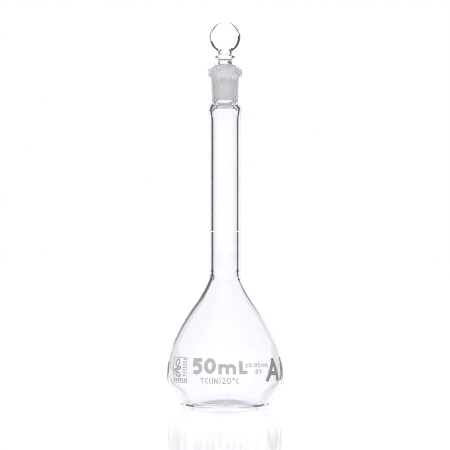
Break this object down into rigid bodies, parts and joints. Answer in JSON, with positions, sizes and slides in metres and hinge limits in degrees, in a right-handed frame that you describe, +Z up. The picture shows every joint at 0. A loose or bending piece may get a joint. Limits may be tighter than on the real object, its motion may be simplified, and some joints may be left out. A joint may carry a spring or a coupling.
{
  "type": "volumetric flask",
  "caption": "Pear-shaped volumetric flask with a long graduated neck, fired enamel marks and a lift-out penny-head ground stopper",
  "frame": {"origin": "where the flask's axis meets the surface it stands on, the middle of the bottom of its box", "axes": "+Z up along the flask's axis, its longest extent; -Y is the printed front; +X to the right of a person facing the front"},
  "size_m": [0.0478, 0.0479, 0.1554],
  "materials": {
    "clear_glass": "clear blown borosilicate glass, fire polished",
    "ground_glass": "borosilicate glass, ground matt on the tapered joint",
    "line_enamel": "fired pale grey enamel line",
    "print_enamel": "fired grey enamel",
    "dark_enamel": "fired dark grey enamel"
  },
  "bodies": {
    "flask": {"bulb": "clear_glass", "neck_tube": "clear_glass", "ground_socket": "ground_glass", "graduation_line": "line_enamel", "capacity_mark": "print_enamel", "tolerance_mark": "print_enamel", "batch_mark": "print_enamel", "temperature_mark": "print_enamel", "class_mark": "dark_enamel", "marking_panel": "print_enamel"},
    "stopper": {"stopper": "ground_glass"}
  },
  "joints": [
    {"name": "stopper_lift", "type": "slide", "parent": "flask", "child": "stopper", "axis": [0, 0, 1], "range_m": [0, 0.04]}
  ]
}
